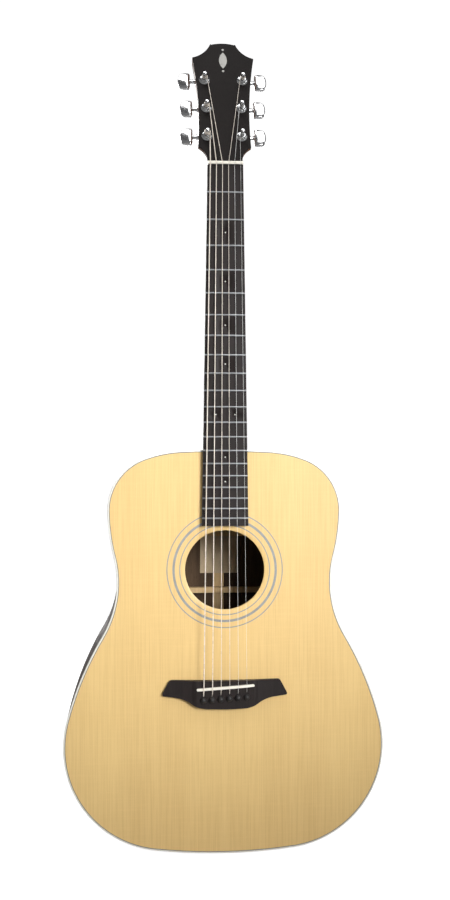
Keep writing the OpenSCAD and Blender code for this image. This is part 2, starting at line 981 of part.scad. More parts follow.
module bridge_pin(i) {
    color("#191818") pin_axis(i) difference() {
        union() {
            rotate_extrude() union() {
                intersection() {
                    translate([0, -1.2]) circle(r = 3.9, $fn = 48);
                    translate([0, -6]) square([5, 5.9]);
                }
                polygon([
                    [0, -0.5], [3, -0.5], [3, -0.1], [shank_top_r, -0.1], [shank_top_r, 0],
                    [shank_tip_r, shank_len - 0.5], [1.2, shank_len], [0, shank_len]
                ]);
            }
        }
        translate([-string_r(i) - 0.15, -6, 0]) cube([string_d[i] + 0.3, 5.1, shank_len + 1]);
    }
}

// ---------------------------------------------------------------- strings

string_lift = 1.75;

// Ball end, under the plate, top of the pin hole, saddle, nut front, nut back, post
function string_path(i) =
    let (
        pin = [across(i, pin_pitch), bridge_y, pin_z(i)],
        x = across(i, saddle_pitch),
        over = [x, saddle_string_y(i) - 0.05, saddle_z + slant(x) - saddle_w / 2 + 0.1],
        nut = [across(i, nut_pitch), nut_string_y(i), nut_front + 1],
        wrap = waist_post_r + 0.08 + 1.05 * string_r(i)
    )
    [
        [pin[0], inner_y + plate_t + 2.3, pin[2] + 4.4],
        [pin[0], inner_y + plate_t + 0.5, pin[2] + string_lift],
        [pin[0], bridge_y + 3, pin[2] + string_lift],
        over,
        nut,
        head_point(
            side_sign(i) * (post_x[post_row(i)] - wrap),
            coil_y,
            post_s[post_row(i)]
        )
    ];

// The winding: turns run up the post's waist, then climb to the cross hole
coil_turns = 2.5;
coil_steps = 12;
hole_y = -12.7;
shoulder_y = -10.8;

function coil_path(i) =
    let (r = string_r(i), n = coil_turns * coil_steps, pitch = 2.1 * r, top = coil_y - coil_turns * pitch)
    [
        for (k = [1:n + 5])
            let (
                y = k <= n ? coil_y - pitch * k / coil_steps : top + (hole_y - top) * (k - n) / 5,
                reach = (y > shoulder_y ? waist_post_r : post_r) + 0.08 + 1.05 * r,
                a = 360 * k / coil_steps
            )
            head_point(
                side_sign(i) * (post_x[post_row(i)] - reach * cos(a)),
                y,
                post_s[post_row(i)] + reach * sin(a)
            )
    ];

module guitar_string(i) {
    path = string_path(i);
    color(i < 4 ? "#b98d5d" : "#d9d9d6") {
        cord(concat(path, coil_path(i)), string_r(i));
        translate(path[0] - [1.6, 0, 0]) rotate([0, 90, 0]) cylinder(r = 1.9, h = 3.2, $fn = 32);
    }
}

// ---------------------------------------------------------------- tuners

shaft_r = 2.2;
case_front = head_t;
case_back = head_t + 11.2;

// Plan of the casing behind the headstock, round over the gear and square over the worm
module case_plan(d) {
    circle(r = case_r - d, $fn = 64);
    translate([-6.8 + d, -key_offset - worm_room + d]) square([13.6 - 2 * d, key_offset + worm_room - d]);
}

case_r = 7.8;
worm_room = 5.6;
case_front_t = 1.2;
cover_t = 1.3;
ear_s = 10.6;

module tuner_housing(i) {
    at_tuner(i) {
        difference() {
            union() {
                translate([0, 0, case_front]) linear_extrude(case_back - case_front) case_plan(0);
                translate([0, -key_offset, key_y]) rotate([0, 90, 0]) cylinder(r = 4.4, h = 8.6);
                translate([0, ear_s, case_front]) cylinder(r = 3.4, h = 3);
                translate([-3.4, 4, case_front]) cube([6.8, ear_s - 4, 3]);
                translate([0, 0, 4]) cylinder(r = 4.95, h = case_front - 3);
            }
            translate([0, 0, case_front + case_front_t]) linear_extrude(20) case_plan(1.3);
            translate([0, 0, -1]) cylinder(r = 3.97, h = 12);
            cylinder(r = post_r + 0.06, h = case_back - 2);
            translate([-20, -key_offset, key_y]) rotate([0, 90, 0]) cylinder(r = shaft_r + 0.05, h = 40);
            translate([0, ear_s, 0]) cylinder(r = 1.3, h = 60);
        }
        translate([0, 0, case_back - cover_t]) linear_extrude(cover_t) case_plan(1.32);
    }
}

module tuner_housings() {
    color("#c9ccd0") for (i = [0:5]) tuner_housing(i);
}

washer_t = 1.4;

module tuner_bushings() {
    color("#d7d9dc") for (i = [0:5]) at_tuner(i) difference() {
        union() {
            cylinder(r = 3.95, h = 10);
            translate([0, 0, -4.2]) intersection() {
                cylinder(r = 5.9, h = 4.2 - washer_t, $fn = 6);
                cylinder(r1 = 4, r2 = 6.3, h = 4.2 - washer_t);
            }
            translate([0, 0, -washer_t - 0.2]) cylinder(r = 3.95, h = 2);
        }
        translate([0, 0, -5]) cylinder(r = post_r + 0.06, h = 20);
    }
}

module tuner_washers() {
    color("#d7d9dc") for (i = [0:5]) at_tuner(i) difference() {
        translate([0, 0, -washer_t]) cylinder(r1 = 5.6, r2 = 7.3, h = washer_t);
        translate([0, 0, -washer_t - 1]) cylinder(r = 3.98, h = washer_t + 2);
    }
}

module tuner_screw(i) {
    at_tuner(i) translate([0, ear_s, 0]) {
        translate([0, 0, case_front - 9]) cylinder(r = 1.25, h = 12.5);
        translate([0, 0, case_front + 3]) intersection() {
            cylinder(r = 2.5, h = 1.6);
            translate([0, 0, -2.4]) sphere(r = 3.9);
        }
    }
}

module tuner_screws() {
    color("#d7d9dc") difference() {
        for (i = [0:5]) tuner_screw(i);
        for (i = [0:5]) at_tuner(i) translate([0, ear_s, case_front + 4]) {
            cube([3, 0.7, 2], center = true);
            cube([0.7, 3, 2], center = true);
        }
    }
}

// Half a tooth's angle at the root, pitch and tip of the gear
tooth_angles = [7.4, 5.2, 3.2];
gear_root_r = gear_pitch_r - 0.75;
gear_tip_r = gear_pitch_r + 0.5;

module gear() {
    linear_extrude(3, center = true) {
        circle(r = gear_root_r, $fn = 64);
        for (k = [0:gear_teeth - 1]) rotate(90 + 360 * k / gear_teeth) polygon([
            [gear_root_r * cos(tooth_angles[0]) - 0.2, gear_root_r * sin(tooth_angles[0])],
            [gear_pitch_r * cos(tooth_angles[1]), gear_pitch_r * sin(tooth_angles[1])],
            [gear_tip_r * cos(tooth_angles[2]), gear_tip_r * sin(tooth_angles[2])],
            [gear_tip_r * cos(tooth_angles[2]), -gear_tip_r * sin(tooth_angles[2])],
            [gear_pitch_r * cos(tooth_angles[1]), -gear_pitch_r * sin(tooth_angles[1])],
            [gear_root_r * cos(tooth_angles[0]) - 0.2, -gear_root_r * sin(tooth_angles[0])]
        ]);
    }
}

// The string post with its waist and rounded tip, and the gear fixed near its inner end
module tuner_post(i) {
    at_tuner(i) {
        color("#d7d9dc") difference() {
            rotate_extrude() polygon([
                [0, -15.8], [1.6, -15.6], [2.6, -14.9], [post_r, -13.8], [post_r, -11.6],
                [waist_post_r, -10.8], [waist_post_r, -5.4], [post_r, -4.6], [post_r, 18.4],
                [2.2, 18.4], [2.2, 24.2], [0, 24.2]
            ]);
            translate([-6, 0, hole_y]) rotate([0, 90, 0]) cylinder(r = 0.85, h = 12);
        }
        color("#b9975a") translate([0, 0, key_y]) gear();
    }
}

// Single-start worm thread swept along the key's shaft
worm_half_len = 2 * worm_lead;
thread_steps = 24;
worm_root_r = worm_pitch_r - 0.75;
worm_tip_r = worm_pitch_r + 0.5;

module worm_thread() {
    n = round(2 * worm_half_len / worm_lead * thread_steps);
    profile = [
        [worm_root_r - 0.3, -0.42],
        [worm_tip_r, -0.16],
        [worm_tip_r, 0.16],
        [worm_root_r - 0.3, 0.42]
    ];
    points = [
        for (k = [0:n], p = profile)
            let (a = 360 * k / thread_steps, z = k * worm_lead / thread_steps - worm_half_len)
            [p[0] * cos(a), p[0] * sin(a), z + p[1]]
    ];
    skin = [
        for (k = [0:n - 1], j = [0:3], half = [0, 1])
            let (a = 4 * k + j, b = 4 * k + (j + 1) % 4)
            half == 0 ? [a, b, b + 4] : [a, b + 4, a + 4]
    ];
    ends = [[3, 2, 1, 0], [for (j = [0:3]) 4 * n + j]];
    polyhedron(points = points, faces = concat(skin, ends));
}

// Key: worm shaft in the casing, collar and broad D-shaped button
module tuner_key(i) {
    reach = key_reach[post_row(i)] - post_x[post_row(i)];
    at_tuner(i) translate([0, -key_offset, key_y]) {
        color("#b9bcc1") rotate([0, 90, 0]) {
            translate([0, 0, -7.2]) cylinder(r = shaft_r, h = reach + 2.2);
            translate([0, 0, -5]) cylinder(r = worm_root_r, h = 10);
            rotate([0, 0, -90]) worm_thread();
        }
        color("#dfe1e4") {
            translate([9.1, 0, 0]) rotate([0, 90, 0]) cylinder(r1 = 4.1, r2 = 2.6, h = reach - 16.1);
            translate([reach - 7.4, 0, 0]) key_button();
        }
    }
}

// The button's outline: a straight inner side and a broad round outer end
button_half = concat(
    [[0, 8.8], [0.9, 10.6], [2.4, 11.1]],
    trace([2.4, 11.1], 3, [[-40, 10], [-6.2, 61], [-18.7, 22]], 9)
);

module key_button() {
    intersection() {
        linear_extrude(8, center = true) polygon(concat(
            button_half,
            [for (k = [len(button_half) - 1:-1:0]) [button_half[k][0], -button_half[k][1]]]
        ));
        rotate([90, 0, 0]) linear_extrude(40, center = true) polygon([
            [-0.5, -3], [-0.5, 3], [4, 4], [11, 3.4], [16.5, 2], [16.5, -2], [11, -3.4], [4, -4]
        ]);
    }
}

soundboard();
back();
side_bass();
side_treble();
top_binding();
back_binding();
top_purfling();
rosette();
top_linings();
back_linings();
neck_block();
tail_block();
top_braces();
bridge_plate();
back_braces();
back_centre_strip();
label();
end_graft();
strap_button();
neck();
heel_cap();
fingerboard();
frets();
position_dots();
nut();
neck_bolts();
truss_rod();
truss_rod_nut();
headstock_overlay();
headstock_inlay();
bridge();
saddle();
for (i = [0:5]) {
    bridge_pin(i);
    guitar_string(i);
    tuner_key(i);
    tuner_post(i);
}
tuner_housings();
tuner_bushings();
tuner_washers();
tuner_screws();
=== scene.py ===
import json
import math

import bmesh
import bpy
import numpy as np
from mathutils import Matrix, Vector

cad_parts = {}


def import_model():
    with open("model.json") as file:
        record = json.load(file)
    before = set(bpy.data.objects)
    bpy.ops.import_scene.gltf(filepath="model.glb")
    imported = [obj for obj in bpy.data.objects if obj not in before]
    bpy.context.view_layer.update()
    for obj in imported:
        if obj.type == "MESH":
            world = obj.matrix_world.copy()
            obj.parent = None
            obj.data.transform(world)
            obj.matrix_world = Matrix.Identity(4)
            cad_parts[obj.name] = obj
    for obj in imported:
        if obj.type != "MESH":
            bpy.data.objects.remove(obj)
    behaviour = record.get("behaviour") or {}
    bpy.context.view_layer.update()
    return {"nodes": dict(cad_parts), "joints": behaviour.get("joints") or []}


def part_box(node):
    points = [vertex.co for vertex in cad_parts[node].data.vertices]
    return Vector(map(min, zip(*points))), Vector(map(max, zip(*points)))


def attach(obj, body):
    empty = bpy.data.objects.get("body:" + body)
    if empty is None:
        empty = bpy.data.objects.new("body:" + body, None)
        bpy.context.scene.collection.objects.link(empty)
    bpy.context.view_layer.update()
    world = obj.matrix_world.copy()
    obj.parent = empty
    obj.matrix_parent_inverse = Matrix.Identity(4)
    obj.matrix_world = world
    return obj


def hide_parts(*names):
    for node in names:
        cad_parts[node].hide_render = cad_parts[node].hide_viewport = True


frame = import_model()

# ---------------------------------------------------------------- sizes, in metres

TOP_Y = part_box("soundboard")[0].y
TAIL_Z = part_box("top_binding")[0].z
JOIN_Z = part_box("top_binding")[1].z
NUT_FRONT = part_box("nut")[0].z
NUT_Z = NUT_FRONT + 0.0016
HOLE_Z = (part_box("rosette")[0].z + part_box("rosette")[1].z) / 2
TOP_T = 0.0028
BACK_T = 0.0028
SIDE_T = 0.002
BINDING_H = 0.006
PURFLING_W = 0.001
PURFLING_H = 0.0015
HOLE_R = 0.05
HOLE_LIP = 0.0005
CORNER_R = 0.0011

# The rosette: (middle radius, width) of each ring, how deep it is let in, and the plain wood's inner radius
ROSETTE_ROWS = [(0.0567, 0.0013), (0.0645, 0.003), (0.0728, 0.0013)]
ROSETTE_H = 0.0012
ROSETTE_CLEAR_R = 0.08
INLAY_LIFT = 0.00003

# The body outline: (radius, sweep in degrees) of each tangent arc from the tail to the neck
BODY_ARCS = [(0.715, 7), (0.131, 98), (0.42, 15.5), (-0.133, 45), (0.24, 13.5), (0.07, 70.5), (0.158, 17.5)]
CLOSING_SWEEP = 3
ARC_STEP = 1.5

# The arched back, and the graft at the tail with its taper and the outline near it
TAIL_DEPTH = 0.12
NECK_END_DEPTH = 0.1
BACK_R = 4.572
GRAFT_HALF = 0.007
GRAFT_SPREAD = 0.004 / 0.13
TAIL_POINTS = 8
TAIL_REACH = 0.026

# Neck and headstock
HEAD_TILT = math.radians(15)
HEAD_Y = TOP_Y - 0.002
HEAD_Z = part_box("nut")[1].z
HEAD_LEN = 0.17
HEAD_T = 0.0155
OVERLAY_T = 0.002
NUT_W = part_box("nut")[1].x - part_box("nut")[0].x
BOARD_TAPER = 0.0151
HEEL_CAP_T = 0.0025
HEEL_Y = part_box("heel_cap")[1].y
HEEL_THICK = 0.014
HEEL_ARC = 0.05
HEEL_FULL = 0.125
HEEL_GAP = 0.0003
SHAFT_T = 0.015
SHAFT_GROWTH = 0.002
SHAFT_TOP = JOIN_Z + HEEL_THICK + HEEL_ARC
RING_POINTS = 30

# How square the neck's section is: a smaller number is squarer
HEEL_SQUARENESS = 0.95
SHAFT_SQUARENESS = 0.85
HEAD_SQUARENESS = 0.08

# Distances along the headstock at which the neck starts to widen, is as wide as the head, and is square
WIDEN_FROM = -0.01
WIDE_AT = 0.023
SQUARE_AT = 0.044

# Strings, bass to treble
STRING_D = [0.00135, 0.00107, 0.00081, 0.00061, 0.00041, 0.0003]
NUT_PITCH = 0.0076
SADDLE_PITCH = 0.0108
BOARD_R = 0.4
SADDLE_Z = NUT_Z - 0.657
SADDLE_SLANT = math.tan(math.radians(3.9))
COIL_Y = -0.0062
POST_HOLE_Y = -0.0127
POST_SHOULDER_Y = -0.0108
POST_R = 0.003
POST_WAIST_R = 0.0026
POST_CLEARANCE = 0.00008
STRING_LIFT = 0.00175

# Tuner keys
SHAFT_R = 0.0022
KEY_REACH = [0.0247, 0.0246, 0.025]
WORM_ROOT_R = 0.00265
WORM_TIP_R = 0.0039
WORM_LEAD = 0.0112 * math.pi / 16


# ---------------------------------------------------------------- curves

def arc_run(start, heading, radius, sweep, step):
    """Points along an arc from start, with its heading in degrees; a negative radius turns back."""
    turn = math.copysign(sweep, radius)
    count = max(1, math.ceil(sweep / step))
    h = math.radians(heading)
    run = []
    for i in range(1, count + 1):
        g = h + math.radians(turn) * i / count
        run.append((start[0] + radius * (math.sin(g) - math.sin(h)),
                    start[1] + radius * (math.cos(h) - math.cos(g))))
    return run


def trace(start, arcs, step, heading=0):
    """Points along a chain of tangent arcs."""
    points = [start]
    for radius, sweep in arcs:
        points += arc_run(points[-1], heading, radius, sweep, step)
        heading += math.copysign(sweep, radius)
    return points


open_end = trace((0, TAIL_Z), BODY_ARCS, ARC_STEP)[-1]
CLOSED_ARCS = BODY_ARCS + [(open_end[0] / math.sin(math.radians(CLOSING_SWEEP)), CLOSING_SWEEP)]


def half_outline(inset=0.0):
    """The body's treble half from the tail to the neck, as an array of (x, z)."""
    arcs = [(radius - inset, sweep) for radius, sweep in CLOSED_ARCS]
    points = np.array(trace((0, TAIL_Z + inset), arcs, ARC_STEP))
    points[0, 0] = points[-1, 0] = 0
    return points


def outline(inset=0.0):
    """The whole body outline, moved in by inset."""
    half = half_outline(inset)
    return np.vstack([half, half[-2:0:-1] * (-1, 1)])


def ring(loop, y):
    """A loop of (x, z) at depth y, which may be one number or one for each point."""
    return np.column_stack([loop[:, 0], np.broadcast_to(y, len(loop)), loop[:, 1]])


def band(outer, inner, front, rear):
    """The four rings of a flat band between two loops."""
    return [ring(outer, front), ring(outer, rear), ring(inner, rear), ring(inner, front)]


BACK_SLOPE = math.atan((TAIL_DEPTH - NECK_END_DEPTH) / (JOIN_Z - TAIL_Z))
HALF_CHORD = (JOIN_Z - TAIL_Z) / 2 / math.cos(BACK_SLOPE)
DOME_REACH = math.sqrt(BACK_R ** 2 - HALF_CHORD ** 2)
DOME_Y = TOP_Y + (TAIL_DEPTH + NECK_END_DEPTH) / 2 - DOME_REACH * math.cos(BACK_SLOPE)
DOME_Z = (JOIN_Z + TAIL_Z) / 2 - DOME_REACH * math.sin(BACK_SLOPE)


def dome(loop, inward=0.0):
    """Depth of the arched back's outer surface, or of a surface inside it, at each (x, z)."""
    return DOME_Y + np.sqrt((BACK_R - inward) ** 2 - loop[:, 0] ** 2 - (loop[:, 1] - DOME_Z) ** 2)


# ---------------------------------------------------------------- meshes

def make(name, points, faces, material, body="root", slot=None, replaces=(), sharp=35, uv=None):
    """A closed piece from points and faces, smooth except at its sharp edges."""
    mesh = bpy.data.meshes.new(name)
    mesh.from_pydata([tuple(float(v) for v in p) for p in points], [], [tuple(f) for f in faces])
    if uv is not None:
        layer = mesh.uv_layers.new(name="along")
        for loop in mesh.loops:
            layer.data[loop.index].uv = uv[loop.vertex_index]
    shell = bmesh.new()
    shell.from_mesh(mesh)
    bmesh.ops.recalc_face_normals(shell, faces=shell.faces)
    shell.to_mesh(mesh)
    shell.free()
    mesh.polygons.foreach_set("use_smooth", [True] * len(mesh.polygons))
    mesh.set_sharp_from_angle(angle=math.radians(sharp))
    mesh.materials.append(material)
    piece = bpy.data.objects.new(name, mesh)
    bpy.context.scene.collection.objects.link(piece)
    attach(piece, body)
    if replaces:
        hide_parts(*replaces)
    return piece


def skin(rings, round_loop=True, closed=False):
    """Points and faces over rings. closed joins the last ring to the first; otherwise the ends are capped."""
    count = len(rings[0])
    points = np.vstack(rings)
    faces = []
    rows = len(rings)
    for j in range(rows if closed else rows - 1):
        k = (j + 1) % rows
        for i in range(count if round_loop else count - 1):
            n = (i + 1) % count
            faces.append((j * count + i, j * count + n, k * count + n, k * count + i))
    if round_loop and not closed:
        faces.append(tuple(range(count)))
        faces.append(tuple(range((rows - 1) * count, rows * count)))
    if closed and not round_loop:
        faces.append(tuple(j * count for j in range(rows)))
        faces.append(tuple(j * count + count - 1 for j in range(rows)))
    return points, faces


def plate(outer, holes, y0, y1):
    """Points and faces of a flat plate with round holes: outlines in (x, z), thickness from y0 to y1."""
    work = bmesh.new()
    for loop in [outer] + holes:
        verts = [work.verts.new((x, y0, z)) for x, z in loop]
        for a, b in zip(verts, verts[1:] + verts[:1]):
            work.edges.new((a, b))
    bmesh.ops.triangle_fill(work, use_beauty=True, edges=work.edges[:])
    made = bmesh.ops.extrude_face_region(work, geom=work.faces[:])
    for v in made["geom"]:
        if isinstance(v, bmesh.types.BMVert):
            v.co.y = y1
    work.verts.index_update()
    points = [tuple(v.co) for v in work.verts]
    faces = [tuple(v.index for v in f.verts) for f in work.faces]
    work.free()
    return points, faces


def circle(x, z, r, count):
    """A round loop of (x, z)."""
    turn = np.linspace(0, 2 * math.pi, count, endpoint=False)
    return np.column_stack([x + r * np.cos(turn), z + r * np.sin(turn)])


def round_edge(piece, width, angle):
    """Rounds the edges that turn by more than angle, in degrees."""
    bevel = piece.modifiers.new("rounded", "BEVEL")
    bevel.width = width
    bevel.segments = 2
    bevel.limit_method = "ANGLE"
    bevel.angle_limit = math.radians(angle)
    bevel.harden_normals = True


def tube(points, radius, sides=10):
    """A round tube along points, with its length and its turn as the second result's pairs."""
    points = np.array(points, float)
    steps = np.diff(points, axis=0)
    lengths = np.linalg.norm(steps, axis=1)
    units = steps / lengths[:, None]
    tangents = np.vstack([units[:1], units[:-1] + units[1:], units[-1:]])
    tangents /= np.linalg.norm(tangents, axis=1)[:, None]
    side = np.array([1.0, 0.0, 0.0])
    rings, pairs = [], []
    along = np.concatenate([[0], np.cumsum(lengths)])
    for point, tangent, distance in zip(points, tangents, along):
        side = side - tangent * side.dot(tangent)
        side /= np.linalg.norm(side)
        other = np.cross(tangent, side)
        turn = np.linspace(0, 2 * math.pi, sides, endpoint=False)[:, None]
        rings.append(point + radius * (np.cos(turn) * side + np.sin(turn) * other))
        pairs += [(distance, i / sides) for i in range(sides)]
    faces_points, faces = skin(rings)
    return faces_points, faces, pairs


def lathe(profile, count=40):
    """Rings of a turned shape about local Z from (radius, height) pairs."""
    turn = np.linspace(0, 2 * math.pi, count, endpoint=False)
    return [np.column_stack([r * np.cos(turn), r * np.sin(turn), np.full(count, h)]) for r, h in profile]


def placed(points, matrix):
    """The points carried by a matrix."""
    return [matrix @ Vector(p) for p in points]


# ---------------------------------------------------------------- materials

class Shader:
    """A Principled material, and short ways to add nodes to it."""

    def __init__(self, name, **settings):
        self.material = bpy.data.materials.new(name)
        self.material.use_nodes = True
        self.tree = self.material.node_tree
        self.surface = self.tree.nodes["Principled BSDF"]
        for socket, value in settings.items():
            self.surface.inputs[socket.replace("_", " ")].default_value = value

    def add(self, kind, sockets=(), out=0, **settings):
        node = self.tree.nodes.new("ShaderNode" + kind)
        for key, value in settings.items():
            setattr(node, key, value)
        for key, value in dict(sockets).items():
            if isinstance(value, bpy.types.NodeSocket):
                self.tree.links.new(value, node.inputs[key])
            else:
                node.inputs[key].default_value = value
        return node.outputs[out]

    def coords(self, scale, kind="Object", mirrored=False):
        """Coordinates stretched by scale. mirrored folds one half on the other, as in a bookmatched plate."""
        place = self.add("TexCoord", out=kind)
        if mirrored:
            parts = self.add("SeparateXYZ", {0: place}).node.outputs
            folded = self.maths("ABSOLUTE", parts[0])
            place = self.add("CombineXYZ", {0: folded, 1: parts[1], 2: parts[2]})
        return self.add("Mapping", {"Vector": place, "Scale": scale})

    def noise(self, vector, scale, detail=2.0, roughness=0.5, distortion=0.0):
        return self.add("TexNoise", {"Vector": vector, "Scale": scale, "Detail": detail,
                                     "Roughness": roughness, "Distortion": distortion})

    def maths(self, operation, a, b=0.0):
        return self.add("Math", {0: a, 1: b}, operation=operation)

    def spread(self, value, low, high, to_low=0.0, to_high=1.0):
        return self.add("MapRange", {"Value": value, "From Min": low, "From Max": high,
                                     "To Min": to_low, "To Max": to_high}, interpolation_type="SMOOTHSTEP")

    def blend(self, factor, a, b):
        node = self.tree.nodes.new("ShaderNodeMix")
        node.data_type = "RGBA"
        for index, value in ((0, factor), (6, a), (7, b)):
            if isinstance(value, bpy.types.NodeSocket):
                self.tree.links.new(value, node.inputs[index])
            else:
                node.inputs[index].default_value = value if index == 0 else (*value, 1.0)
        return node.outputs[2]

    def bump(self, height, strength, distance):
        normal = self.add("Bump", {"Height": height, "Strength": strength, "Distance": distance})
        self.tree.links.new(normal, self.surface.inputs["Normal"])

    def use(self, socket, value):
        self.tree.links.new(value, self.surface.inputs[socket])


def wood(name, pale, dark, line_mm, streak, gloss, pores=0.0, kind="Object", mirrored=False, silk=0.0,
         coat=0.0, shine=0.5):
    """Straight-grained wood. Grain runs along Z, or along U where the piece carries its own coordinates."""
    s = Shader(name, IOR=1.5, Coat_Weight=coat, Coat_Roughness=0.12, Specular_IOR_Level=shine)
    along = (lambda v: (v, 1.0, 1.0)) if kind == "UV" else (lambda v: (1.0, 1.0, v))
    fine = s.noise(s.coords(along(0.012), kind, mirrored), 1000 / line_mm, 3, 0.6)
    wide = s.noise(s.coords(along(0.06), kind, mirrored), 22, 3, 0.55, 0.4)
    cloud = s.noise(s.coords((1.0, 1.0, 1.0), kind, mirrored), 9, 3, 0.5)
    tone = s.maths("ADD", s.maths("MULTIPLY", s.spread(fine, 0.35, 0.7), 1 - streak),
                   s.maths("MULTIPLY", s.spread(wide, 0.3, 0.72), streak))
    tone = s.maths("ADD", s.maths("MULTIPLY", tone, 0.8), s.maths("MULTIPLY", s.spread(cloud, 0.3, 0.7), 0.2))
    colour = s.blend(tone, pale, dark)
    height = fine
    # Silk: flecks across the grain. They are real ray figure, painted lighter than the wood as a painted
    # sheen.
    if silk:
        across = (1.0, 0.05, 1.0) if kind == "UV" else (0.05, 1.0, 1.0)
        flecks = s.noise(s.coords(across, kind, mirrored), 420, 2, 0.6)
        silk_sheen = tuple(min(1.0, c * 1.12) for c in pale)
        colour = s.blend(s.spread(flecks, 0.42, 0.75, 0.0, silk), colour, silk_sheen)
    if pores:
        pits = s.noise(s.coords(along(0.04), kind, mirrored), 2300, 2, 0.7)
        pits = s.spread(pits, 0.56, 0.7)
        colour = s.blend(s.maths("MULTIPLY", pits, pores), colour, tuple(c * 0.35 for c in dark))
        height = s.maths("SUBTRACT", fine, pits)
    s.use("Base Color", colour)
    s.use("Roughness", s.spread(wide, 0.2, 0.8, gloss - 0.05, gloss + 0.07))
    s.bump(height, 0.12, 0.0002)
    return s.material


def plain(name, colour, roughness, vary, grain, metal=0.0, bump=0.04, coat=0.0):
    """A plain moulded, polished or cast surface with slight mottling."""
    s = Shader(name, Metallic=metal, IOR=1.5, Coat_Weight=coat, Coat_Roughness=0.08)
    spots = s.noise(s.coords((1, 1, 1)), grain, 3, 0.6)
    cloud = s.noise(s.coords((1, 1, 1)), grain / 9, 2, 0.5)
    shade = tuple(c * (1 - 2.2 * vary) for c in colour)
    tone = s.spread(s.maths("ADD", spots, cloud), 0.7, 1.3)
    s.use("Base Color", s.blend(tone, colour, shade))
    s.use("Roughness", s.spread(cloud, 0.3, 0.7, roughness * 0.85, roughness * 1.2))
    s.bump(spots, bump, 0.0002)
    return s.material


def wound_wire(name, colour, groove_shade, pitch):
    """Round wire wrapped closely round a core: rings across the string, from its own coordinates, with
    painted shade in the grooves between the windings.
    """
    s = Shader(name, Metallic=0.15, IOR=1.5)
    place = s.coords((1 / pitch, 1, 1), "UV")
    parts = s.add("SeparateXYZ", {0: place}).node.outputs
    wave = s.maths("SINE", s.maths("MULTIPLY", parts[0], 2 * math.pi))
    tarnish = s.noise(s.coords((1, 1, 1)), 120, 3, 0.6)
    tinted = s.blend(s.spread(tarnish, 0.35, 0.7), colour, tuple(c * 0.9 for c in colour))
    # Each ring's colour darkens in a band: painted shade in the groove between windings.
    s.use("Base Color", s.blend(s.spread(wave, -1.0, -0.3, 0.12, 0.0), tinted, groove_shade))
    s.use("Roughness", s.spread(tarnish, 0.3, 0.7, 0.24, 0.36))
    return s.material


SPRUCE = wood("spruce_top", (0.80, 0.572, 0.245), (0.67, 0.452, 0.18), 1.15, 0.3, 0.36, mirrored=True,
              silk=0.1, coat=0.08, shine=0.4)
ROSEWOOD = wood("rosewood", (0.125, 0.058, 0.030), (0.024, 0.011, 0.007), 2.6, 0.75, 0.36, pores=0.8,
                mirrored=True, shine=0.25)
RAW_ROSEWOOD = wood("rosewood_raw", (0.135, 0.086, 0.051), (0.042, 0.027, 0.017), 2.6, 0.75, 0.7, pores=0.5,
                    mirrored=True, shine=0.1)
ROSEWOOD_SIDE = wood("rosewood_side", (0.125, 0.058, 0.030), (0.024, 0.011, 0.007), 2.6, 0.75, 0.36,
                     pores=0.8, kind="UV", shine=0.25)
MAHOGANY = wood("neck_mahogany", (0.27, 0.125, 0.052), (0.15, 0.062, 0.026), 1.8, 0.5, 0.38, pores=0.7)
BLOCK_WOOD = wood("block_mahogany", (0.38, 0.21, 0.10), (0.24, 0.12, 0.055), 1.8, 0.5, 0.62, pores=0.6)
BRACE_WOOD = wood("brace_spruce", (0.66, 0.47, 0.24), (0.50, 0.33, 0.15), 1.3, 0.4, 0.62)
LINING_WOOD = wood("lining_cedar", (0.56, 0.38, 0.21), (0.42, 0.26, 0.13), 1.4, 0.4, 0.66)
EBONY = wood("ebony", (0.027, 0.021, 0.020), (0.014, 0.011, 0.011), 1.0, 0.4, 0.48, pores=0.25, shine=0.14)
OVERLAY = wood("headstock_black", (0.017, 0.014, 0.013), (0.011, 0.009, 0.009), 1.2, 0.4, 0.4, shine=0.06)
BINDING = plain("cream_binding", (0.86, 0.84, 0.78), 0.28, 0.02, 260, coat=0.3)
PURFLING = plain("purfling_grey", (0.20, 0.20, 0.195), 0.5, 0.1, 900)
ROSETTE = plain("rosette_grey", (0.30, 0.31, 0.31), 0.45, 0.1, 900)
PAPER = plain("label_paper", (0.54, 0.42, 0.27), 0.9, 0.05, 500, bump=0.1)
FRET_METAL = plain("fret_nickel", (0.30, 0.31, 0.32), 0.45, 0.03, 600, metal=1.0)
DOT = plain("dot_white", (0.80, 0.79, 0.75), 0.25, 0.03, 700)
BONE = plain("bone", (0.90, 0.86, 0.76), 0.36, 0.03, 300)
CHROME = plain("chrome", (0.82, 0.83, 0.84), 0.06, 0.015, 300, metal=1.0, bump=0.01)
BUTTON_CHROME = plain("button_chrome", (0.80, 0.80, 0.81), 0.1, 0.015, 200, metal=1.0, bump=0.015)
GEAR_BRASS = plain("gear_brass", (0.62, 0.44, 0.18), 0.3, 0.05, 400, metal=1.0)
STEEL = plain("plain_steel", (0.40, 0.41, 0.43), 0.38, 0.08, 500, metal=1.0)
PIN_BLACK = plain("pin_black", (0.018, 0.016, 0.016), 0.5, 0.08, 500)
STRAP_BLACK = plain("strap_button_black", (0.02, 0.018, 0.018), 0.32, 0.08, 500)
INLAY = plain("inlay_pearl", (0.44, 0.43, 0.40), 0.35, 0.06, 300)
PLAIN_WIRE = plain("plain_wire", (0.94, 0.94, 0.93), 0.3, 0.02, 300, metal=0.2)


# ---------------------------------------------------------------- CAD nodes that stay

def dress(node, material, bevel=0.0):
    """Gives a CAD node its finish, and rounds its sharp edges when a bevel width is given."""
    piece = frame["nodes"][node]
    piece.data.materials.clear()
    piece.data.materials.append(material)
    weld = piece.modifiers.new("joined", "WELD")
    weld.merge_threshold = 0.000004
    if bevel:
        round_edge(piece, bevel, 32)


